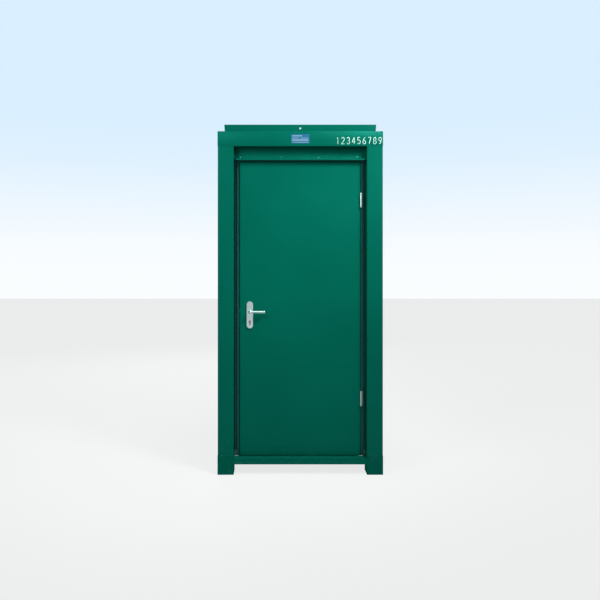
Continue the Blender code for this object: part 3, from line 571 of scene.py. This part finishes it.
def turned(shape, rings, at, turn, sides=28, holed=False):
    """A turned shape from (radius, height) rings, solid or holed; turn takes +Z to its axis."""
    loops = []
    for radius, height in rings:
        circle = arc((0, 0), radius, 0, 360, sides)[:-1]
        loops.append(ring(shape, [at + turn @ Vector((a, b, height)) for a, b in circle]))
    for first, second in zip(loops, loops[1:]):
        bridge(shape, first, second)
    if holed:
        bridge(shape, loops[-1], loops[0])
    else:
        shape.faces.new(loops[0])
        shape.faces.new(loops[-1][::-1])


def dome(radius, height, steps=5):
    """(radius, height) rings of a domed head that stands on a surface."""
    rings = [(radius, 0.0)]
    for i in range(1, steps + 1):
        angle = math.radians(84 * i / steps)
        rings.append((radius * math.cos(angle), height * math.sin(angle)))
    return rings


# ---- structure ------------------------------------------------------------------------------


def make_posts():
    """Folded square posts with round corners, as tubes with their wall showing at the ends."""
    for node in ("front_left_post", "front_right_post", "rear_left_post", "rear_right_post"):
        low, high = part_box(node)
        outer = rounded_rectangle(low.xy, high.xy, POST_FOLD)
        wall = Vector((POST_WALL, POST_WALL))
        inner = rounded_rectangle(low.xy + wall, high.xy - wall, POST_FOLD - POST_WALL)
        shape = bmesh.new()
        loops = []
        for outline, z in ((outer, low.z), (outer, high.z), (inner, high.z), (inner, low.z)):
            loops.append(ring(shape, [(x, y, z) for x, y in outline]))
        for i in range(4):
            bridge(shape, loops[i], loops[(i + 1) % 4])
        post = piece(f"{node}_tube", shape, "cabin", "green_paint", PAINT)
        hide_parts(node)


def make_sheet_metal():
    """Every other painted piece, and the metal ones, with their folds and cut edges rounded."""
    widths = {
        "door_outer_skin": (FOLD, 3),
        "door_inner_skin": (SOFT, 2),
        "drip_rail": (FINE, 2),
        "head_panel": (SOFT, 2),
        "door_sill": (SOFT, 2),
        "front_base_rail": (FOLD, 2),
        "left_wall_sheet": (FINE, 1),
        "right_wall_sheet": (FINE, 1),
        "rear_wall_sheet": (FINE, 1),
        "roof_sheet": (FINE, 1),
        "lock_jamb": (SOFT, 2),
        "hinge_jamb": (SOFT, 2),
        "frame_head": (SOFT, 2),
    }
    for side in ("left", "right", "rear"):
        widths[f"{side}_base_rail"] = (FOLD, 2)
    for side in ("left", "right", "rear", "front"):
        widths[f"{side}_top_rail"] = (FINE, 1)
    for end in ("front", "rear"):
        widths[f"{end}_roof_upstand"] = (SOFT, 2)
        for side in ("left", "right"):
            widths[f"{end}_{side}_foot"] = (FINE, 1)
    for node, (width, segments) in widths.items():
        finish = None
        if node in ("lock_jamb", "hinge_jamb", "frame_head"):
            finish = FRAME_PAINT
        elif node.endswith("foot"):
            finish = FOOT_PAINT
        refined(node, width, segments, finish)

    for node in ("strike_plate", "lock_case"):
        # painted shade: these parts sit at the door gap and take zinc darkened as its shade
        refined(node, FINE, 2, GAP_SHADE_ZINC)
    for node in ("latch_bolt", "dead_bolt"):
        refined(node, FINE, 3)
    for place in ("upper", "lower"):
        for part in ("frame_hinge", "door_hinge", "hinge_pin"):
            refined(f"{place}_{part}", FINE, 2, HINGE_ZINC)
    refined("outer_backplate", PLATE_EDGE, 4)
    refined("inner_backplate", PLATE_EDGE, 4)
    refined("cylinder_body", FINE, 2)
    refined("cylinder_plug", FINE / 2, 2)
    refined("threshold_stop", FINE, 1)


def weld(name, path):
    """A rippled bead of weld along a path, painted over."""
    points, radii = [], []
    for start, end in zip(path, path[1:]):
        start, end = Vector(start), Vector(end)
        steps = max(2, round((end - start).length / WELD_RIPPLE * 2))
        for i in range(steps):
            points.append(start.lerp(end, i / steps))
    points.append(Vector(path[-1]))
    for i in range(len(points)):
        radii.append(WELD_RADIUS * (1.0 if i % 2 else WELD_NARROW))
    shape = bmesh.new()
    swept(shape, points, radii, 8)
    piece(name, shape, "cabin", "green_paint", PAINT, sharp=80)


def make_welds():
    """Beads where each post meets its foot and the top rails, on its two outer faces."""
    for end, ys in (("front", -1), ("rear", 1)):
        for side, xs in (("left", -1), ("right", 1)):
            low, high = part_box(f"{end}_{side}_post")
            foot_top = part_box(f"{end}_{side}_foot")[1].z
            rail_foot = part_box(f"{end}_top_rail")[0].z
            outer_x = high.x if xs > 0 else low.x
            inner_x = low.x if xs > 0 else high.x
            outer_y = high.y if ys > 0 else low.y
            inner_y = low.y if ys > 0 else high.y
            for level, z in (("foot", foot_top), ("rail", rail_foot)):
                path = [(inner_x, outer_y, z), (outer_x - xs * POST_FOLD, outer_y, z)]
                weld(f"{end}_{side}_{level}_weld_face", path)
                path = [(outer_x, inner_y, z), (outer_x, outer_y - ys * POST_FOLD, z)]
                weld(f"{end}_{side}_{level}_weld_side", path)


# ---- door furniture -------------------------------------------------------------------------


def make_neck_ring(node, ys, neck_x, middle_z):
    """The ring on the plate in which a lever turns."""
    low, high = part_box(node.replace("lever", "backplate"))
    face = low.y if ys < 0 else high.y
    profile = [(LEVER_RADIUS + beyond, height) for beyond, height in NECK_RING]
    shape = bmesh.new()
    at = Vector((neck_x, face, middle_z))
    turned(shape, profile, at, TOWARDS_FRONT if ys < 0 else TOWARDS_REAR, 36, holed=True)
    piece(f"{node}_neck_ring", shape, "door", "stainless_steel", LEVER_STEEL)


def make_levers():
    """Round bent levers with a rounded end, each in a neck ring on its plate."""
    for node, ys in (("outer_lever", -1), ("inner_lever", 1)):
        low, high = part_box(node)
        middle_z = (low.z + high.z) / 2
        foot_y, grip_y = (high.y, low.y + LEVER_RADIUS) if ys < 0 else (low.y, high.y - LEVER_RADIUS)
        neck_x, tip_x = low.x + LEVER_RADIUS, high.x
        bend_y = grip_y - ys * LEVER_BEND
        neck_y = foot_y + ys * LEVER_NECK
        path = [Vector((neck_x, foot_y, middle_z)), Vector((neck_x, neck_y, middle_z))]
        bend = arc((neck_x + LEVER_BEND, bend_y), LEVER_BEND, 180, 180 - ys * 90, 14)
        path += [Vector((x, y, middle_z)) for x, y in bend]
        radii = [LEVER_RADIUS] * len(path)
        rounding = LEVER_TIP_ROUNDING
        for i in range(7):
            angle = math.radians(86 * i / 6)
            x = tip_x - rounding + rounding * math.sin(angle)
            path.append(Vector((x, grip_y, middle_z)))
            radii.append(LEVER_RADIUS - rounding + rounding * math.cos(angle))
        shape = bmesh.new()
        swept(shape, path, radii, 36)
        lever = piece(f"{node}_rod", shape, "handle", "stainless_steel", LEVER_STEEL, sharp=50)
        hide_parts(node)
        make_neck_ring(node, ys, neck_x, middle_z)


def screw_head(name, at, turn, body, slot, finish):
    """A raised head with a cross recess."""
    shape = bmesh.new()
    turned(shape, dome(SCREW_RADIUS, SCREW_HEIGHT), at, turn)
    head = piece(name, shape, body, slot, finish, sharp=60)

    arm, half = SCREW_RADIUS * RECESS_REACH, SCREW_RADIUS * RECESS_HALF_WIDTH
    outline = []
    for quarter in range(4):
        spin = Matrix.Rotation(math.radians(-90 * quarter), 2)
        outline += [spin @ Vector(corner) for corner in ((half, half), (arm, half), (arm, -half))]
    recess = bmesh.new()
    rings = []
    for height in (SCREW_HEIGHT * RECESS_FLOOR, SCREW_HEIGHT * 2):
        rings.append(ring(recess, [at + turn @ Vector((x, y, height)) for x, y in outline]))
    bridge(recess, *rings)
    recess.faces.new(rings[0])
    recess.faces.new(rings[1][::-1])
    bmesh.ops.recalc_face_normals(recess, faces=recess.faces)
    cutter_mesh = bpy.data.meshes.new(f"{name}_recess")
    recess.to_mesh(cutter_mesh)
    recess.free()
    cutter = bpy.data.objects.new(f"{name}_recess", cutter_mesh)
    bpy.context.collection.objects.link(cutter)
    cut = head.modifiers.new("recess", "BOOLEAN")
    cut.operation, cut.solver, cut.object = "DIFFERENCE", "EXACT", cutter
    bpy.context.view_layer.objects.active = head
    bpy.ops.object.modifier_apply(modifier="recess")
    bpy.data.objects.remove(cutter)


def make_screws():
    """Through-screws of the long plates, seen on the inner one, and the strike plate's two."""
    low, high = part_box("inner_backplate")
    middle_x = (low.x + high.x) / 2
    inset = SCREW_INSET["plate"]
    for name, z in (("top", high.z - inset), ("foot", low.z + inset)):
        at = Vector((middle_x, high.y - SCREW_SINK["plate"], z))
        screw_head(f"inner_plate_screw_{name}", at, TOWARDS_REAR, "door", "stainless_steel", STAINLESS)
    low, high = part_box("strike_plate")
    inset = SCREW_INSET["strike"]
    for name, z in (("top", high.z - inset), ("foot", low.z + inset)):
        at = Vector((high.x - SCREW_SINK["strike"], (low.y + high.y) / 2, z))
        # painted shade: the strike screws take the darkened zinc of the door gap
        screw_head(f"strike_screw_{name}", at, TOWARDS_RIGHT, "cabin", "zinc_steel", GAP_SHADE_ZINC)


def make_rivets():
    """Blind rivets through the drip rail's upright leg, left bare."""
    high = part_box("drip_rail")[1]
    leg_face = high.y - DRIP_SHEET
    for i, x in enumerate(RIVET_PLACES, 1):
        shape = bmesh.new()
        at = Vector((x, leg_face, high.z - RIVET_DROP))
        rings = dome(RIVET_RADIUS, RIVET_HEIGHT)
        rings[-1:] = [(RIVET_RADIUS * across, RIVET_HEIGHT * up) for across, up in RIVET_STEM]
        turned(shape, rings, at, TOWARDS_FRONT)
        piece(f"drip_rail_rivet_{i}", shape, "cabin", "zinc_steel", RIVET_METAL, sharp=60)


# ---- markings -------------------------------------------------------------------------------


def slab(shape, outline, front, back):
    """An upright plate from an (x, z) outline."""
    rings = [ring(shape, [(x, y, z) for x, z in outline]) for y in (front, back)]
    bridge(shape, *rings)
    shape.faces.new(rings[0])
    shape.faces.new(rings[1][::-1])


def make_name_plate():
    """An enamelled plate with plain pale bars in place of any writing."""
    low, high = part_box("name_plate")
    front = low.y + PLATE_PRINT_HEIGHT
    shape = bmesh.new()
    slab(shape, rounded_rectangle((low.x, low.z), (high.x, high.z), PLATE_CORNER), front, high.y)
    plate = soften(piece("name_plate_enamel", shape, "cabin", "blue_plate", BLUE_ENAMEL), FINE)
    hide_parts("name_plate")

    width, height = high.x - low.x, high.z - low.z
    shape = bmesh.new()
    for bottom, top, left, right in PLATE_BARS:
        corner = (low.x + width * left, low.z + height * bottom)
        opposite = (low.x + width * right, low.z + height * top)
        radius = (opposite[1] - corner[1]) * 0.2
        slab(shape, rounded_rectangle(corner, opposite, radius, 3), low.y + FINE / 3, front + FINE / 3)
    piece("name_plate_bars", shape, "cabin", "blue_plate", PALE_PRINT)


def bow(middle, radii, start, end):
    """Points along part of an ellipse, angles in degrees."""
    points = []
    for x, y in arc((0, 0), 1.0, start, end, 14):
        points.append((middle[0] + x * radii[0], middle[1] + y * radii[1]))
    return points


def digit_strokes():
    """The strokes of 1 to 9 in a cell from -1 to 1 both ways."""
    upper, lower = (0, 0.48), (0, -0.46)
    six = [(0.55, 1.0), (-0.35, 0.55)] + bow(lower, (0.95, 0.54), 160, 510)
    return (
        [[(-0.45, 0.62), (0.15, 1.0), (0.15, -1.0)]],
        [bow(upper, (0.92, 0.52), 165, -35) + [(-0.95, -1.0), (0.95, -1.0)]],
        [bow(upper, (0.85, 0.52), 155, -80) + bow(lower, (0.95, 0.54), 80, -155)],
        [[(0.45, -1.0), (0.45, 1.0)], [(0.30, 1.0), (-0.95, -0.40), (0.98, -0.40)]],
        [[(0.80, 1.0), (-0.70, 1.0), (-0.80, 0.16)] + bow((0, -0.38), (0.95, 0.62), 125, -150)],
        [six],
        [[(-0.92, 1.0), (0.92, 1.0), (-0.25, -1.0)]],
        [bow(upper, (0.80, 0.52), -90, 270) + bow(lower, (0.95, 0.54), 90, -270)[1:]],
        [[(-x, -z) for x, z in six]],
    )


def ribbon(shape, points, half_width, front, back):
    """A flat strip of even width along (x, z) points."""
    last = len(points) - 1
    loops = []
    for i, here in enumerate(points):
        before = (here - points[max(i - 1, 0)]).normalized() if i else (points[1] - here).normalized()
        after = (points[min(i + 1, last)] - here).normalized() if i < last else before
        middle = (before + after).normalized()
        reach = half_width * min(STROKE_MITRE, 1 / max(0.1, middle.dot(before)))
        side = Vector((-middle.y, middle.x)) * reach
        left, right = here + side, here - side
        corners = ((left, front), (right, front), (right, back), (left, back))
        loops.append(ring(shape, [(point.x, y, point.y) for point, y in corners]))
    for first, second in zip(loops, loops[1:]):
        bridge(shape, first, second)
    shape.faces.new(loops[0])
    shape.faces.new(loops[-1][::-1])


def make_digits():
    """A row of plain counting digits, drawn with a brush of even width on the top rail."""
    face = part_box("front_top_rail")[0].y
    for i, strokes in enumerate(digit_strokes()):
        middle = Vector((DIGIT_FIRST + i * DIGIT_PITCH, DIGIT_MIDDLE))
        shape = bmesh.new()
        for stroke in strokes:
            points = []
            for x, z in stroke:
                points.append(middle + Vector((x * DIGIT_HALF_WIDTH, z * DIGIT_HALF_HEIGHT)))
            ribbon(shape, points, DIGIT_STROKE / 2, face - DIGIT_FILM, face + DIGIT_FILM)
        piece(f"marking_digit_{i + 1}", shape, "cabin", "blue_plate", WHITE_ENAMEL, sharp=60)


# ---- doorway and inside ---------------------------------------------------------------------


def block(name, low, high, body, slot, finish, width):
    """A moulded or cut block with rounded edges."""
    shape = bmesh.new()
    bmesh.ops.create_cube(shape, size=1)
    size, middle = Vector(high) - Vector(low), (Vector(high) + Vector(low)) / 2
    for vert in shape.verts:
        vert.co = Vector((vert.co.x * size.x, vert.co.y * size.y, vert.co.z * size.z)) + middle
    soften(piece(name, shape, body, slot, finish), width, 3)


def make_groove_sealant(side, xs, post_x, bottom, top):
    """A half-round fillet of sealant, upright in the groove."""
    middle = (RIDGE_X + post_x) / 2
    half = (post_x - RIDGE_X) / 2 - GROOVE_CLEARANCE
    outline = []
    for a, b in bow((0, 0), (half, -GROOVE_SEAL_DEPTH), 0, 180):
        outline.append((middle + a, GROOVE_BACK - GROOVE_CLEARANCE + b))
    shape = bmesh.new()
    loops = []
    for z in (bottom, top - GROOVE_CLEARANCE):
        loops.append(ring(shape, [(xs * x, y, z) for x, y in outline]))
    bridge(shape, *loops)
    shape.faces.new(loops[0])
    shape.faces.new(loops[1][::-1])
    piece(f"{side}_groove_sealant", shape, "cabin", "black_rubber", JOINT_SEALANT)


def make_groove_stopper(side, xs, post_x, sill_top):
    """A moulded stopper that stands on the sill and fills the foot of the groove."""
    groove = sorted((xs * (RIDGE_X + GROOVE_CLEARANCE), xs * (post_x - GROOVE_CLEARANCE)))
    low = (groove[0], GROOVE_BACK - STOPPER_DEPTH, sill_top + GROOVE_CLEARANCE)
    high = (groove[1], GROOVE_BACK - GROOVE_SEAL_DEPTH, sill_top + STOPPER_HEIGHT)
    name = f"{side}_groove_stopper"
    block(name, low, high, "cabin", "black_rubber", STOPPER_PLASTIC, STOPPER_EDGE)


def make_foot_bead(side, xs, sill_top):
    """A short bead of pale sealant between the frame's foot and the sill."""
    bead = sorted(xs * x for x in FOOT_BEAD_SPAN[side])
    low = (bead[0], FRAME_FACE - FOOT_BEAD_PROUD[0], sill_top + GROOVE_CLEARANCE)
    high = (bead[1], FRAME_FACE - FOOT_BEAD_PROUD[1], sill_top + FOOT_BEAD_HEIGHT)
    name = f"{side}_jamb_foot_bead"
    block(name, low, high, "cabin", "black_rubber", FOOT_SEALANT, FOOT_BEAD_EDGE)


def make_end_pieces():
    """What closes the groove between the door frame and each post."""
    sill_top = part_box("door_sill")[1].z
    for side, jamb, xs in (("left", "lock_jamb", -1), ("right", "hinge_jamb", 1)):
        post_low, post_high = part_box(f"front_{side}_post")
        post_x = abs(post_low.x if xs > 0 else post_high.x)
        jamb_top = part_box(jamb)[1].z
        make_groove_sealant(side, xs, post_x, sill_top + GROOVE_CLEARANCE, jamb_top)
        make_groove_stopper(side, xs, post_x, sill_top)
        make_foot_bead(side, xs, sill_top)


def make_foot_strip():
    """A narrow painted flange under the leaf, behind its face, which nearly closes the gap."""
    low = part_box("door_outer_skin")[0]
    sill_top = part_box("door_sill")[1].z
    foot = (low.x + STRIP_INSET, low.y + STRIP_INSET, sill_top + STRIP_CLEARANCE)
    strip_end = FOOT_BEAD_SPAN["right"][0] - STRIP_INSET
    head = (strip_end, low.y + STRIP_INSET + STRIP_THICKNESS, low.z + STRIP_THICKNESS / 2)
    block("door_foot_strip", foot, head, "door", "green_paint", PAINT, FINE)


def carry_over():
    """The CAD nodes that stay as they are, each with its finish."""
    for name, obj in nodes.items():
        if not obj.hide_render:
            finish = SLOT_FINISHES[slot_of(name)]
            for material_slot in obj.material_slots:
                material_slot.material = finish


# ---- stage ----------------------------------------------------------------------------------


def make_floor():
    """A wide pale floor that glows a little."""
    shape = bmesh.new()
    corners = [(-1, -1), (1, -1), (1, 1), (-1, 1)]
    shape.faces.new(ring(shape, [(x * FLOOR_HALF, y * FLOOR_HALF, 0) for x, y in corners]))
    mesh = bpy.data.meshes.new("floor")
    shape.to_mesh(mesh)
    shape.free()
    finish = Finish("pale_floor", 0.8, specular=0.0)
    tone = finish.noise(0.6, 3.0)
    matt = shade(FLOOR_TONE, FLOOR_MATT)
    finish.colour(finish.mixed(tone, shade(FLOOR_TONE, FLOOR_MATT * 0.97), matt))
    finish.shader.inputs["Emission Color"].default_value = (*FLOOR_TONE, 1)
    finish.shader.inputs["Emission Strength"].default_value = FLOOR_GLOW
    mesh.materials.append(finish.material)
    floor = bpy.data.objects.new("floor", mesh)
    bpy.context.collection.objects.link(floor)


def make_sky():
    """A pale dome that is only a background: it neither lights the object nor shadows it."""
    shape = bmesh.new()
    bmesh.ops.create_uvsphere(shape, u_segments=48, v_segments=32, radius=SKY_RADIUS)
    mesh = bpy.data.meshes.new("sky")
    shape.to_mesh(mesh)
    shape.free()
    finish = Finish("pale_sky", 1.0, specular=0.0)
    rise = finish.ranged(finish.along("Z"), 0.0, SKY_RADIUS * SKY_RISE)
    colour = finish.mixed(rise, SKY_LOW, SKY_HIGH)
    finish.shader.inputs["Base Color"].default_value = (0, 0, 0, 1)
    finish.join(colour, finish.shader.inputs["Emission Color"])
    finish.shader.inputs["Emission Strength"].default_value = 1.0
    mesh.materials.append(finish.material)
    mesh.shade_smooth()
    sky = bpy.data.objects.new("sky", mesh)
    bpy.context.collection.objects.link(sky)
    sky.visible_diffuse = False
    sky.visible_glossy = False
    sky.visible_shadow = False


def area_light(name, place, target, size, power, spread):
    """A rectangular studio light that the camera doesn't see."""
    light = bpy.data.lights.new(name, "AREA")
    light.shape = "RECTANGLE"
    light.size, light.size_y = size
    light.energy = power
    light.spread = math.radians(spread)
    obj = bpy.data.objects.new(name, light)
    bpy.context.collection.objects.link(obj)
    obj.location = place
    obj.rotation_euler = (Vector(target) - Vector(place)).to_track_quat("-Z", "Y").to_euler()
    obj.visible_camera = False


def make_light():
    """A dim studio all round, three area lights and a soft sun from above."""
    world = bpy.data.worlds.new("studio")
    bpy.context.scene.world = world
    world.use_nodes = True
    background = world.node_tree.nodes["Background"]
    background.inputs["Color"].default_value = (*STUDIO_TONE, 1)
    background.inputs["Strength"].default_value = STUDIO_STRENGTH
    for name, settings in AREA_LIGHTS.items():
        area_light(name, *settings)
    sun = bpy.data.lights.new("high_sun", "SUN")
    sun.energy = SUN_STRENGTH
    sun.angle = math.radians(SUN_ANGLE)
    obj = bpy.data.objects.new("high_sun", sun)
    bpy.context.collection.objects.link(obj)
    obj.rotation_euler = Vector(SUN_DIRECTION).to_track_quat("-Z", "Y").to_euler()


def make_camera():
    """A level camera in front of the door, a little to its left."""
    camera = bpy.data.cameras.new("camera")
    camera.lens = CAMERA_LENS
    camera.shift_x, camera.shift_y = CAMERA_SHIFT
    obj = bpy.data.objects.new("camera", camera)
    obj.location = CAMERA_PLACE
    obj.rotation_euler = (math.radians(90), 0, 0)
    bpy.context.collection.objects.link(obj)
    bpy.context.scene.camera = obj


make_posts()
make_sheet_metal()
make_welds()
make_levers()
make_screws()
make_rivets()
make_name_plate()
make_digits()
make_end_pieces()
make_foot_strip()
carry_over()
make_floor()
make_sky()
make_light()
make_camera()
bpy.context.scene.view_settings.view_transform = "Standard"
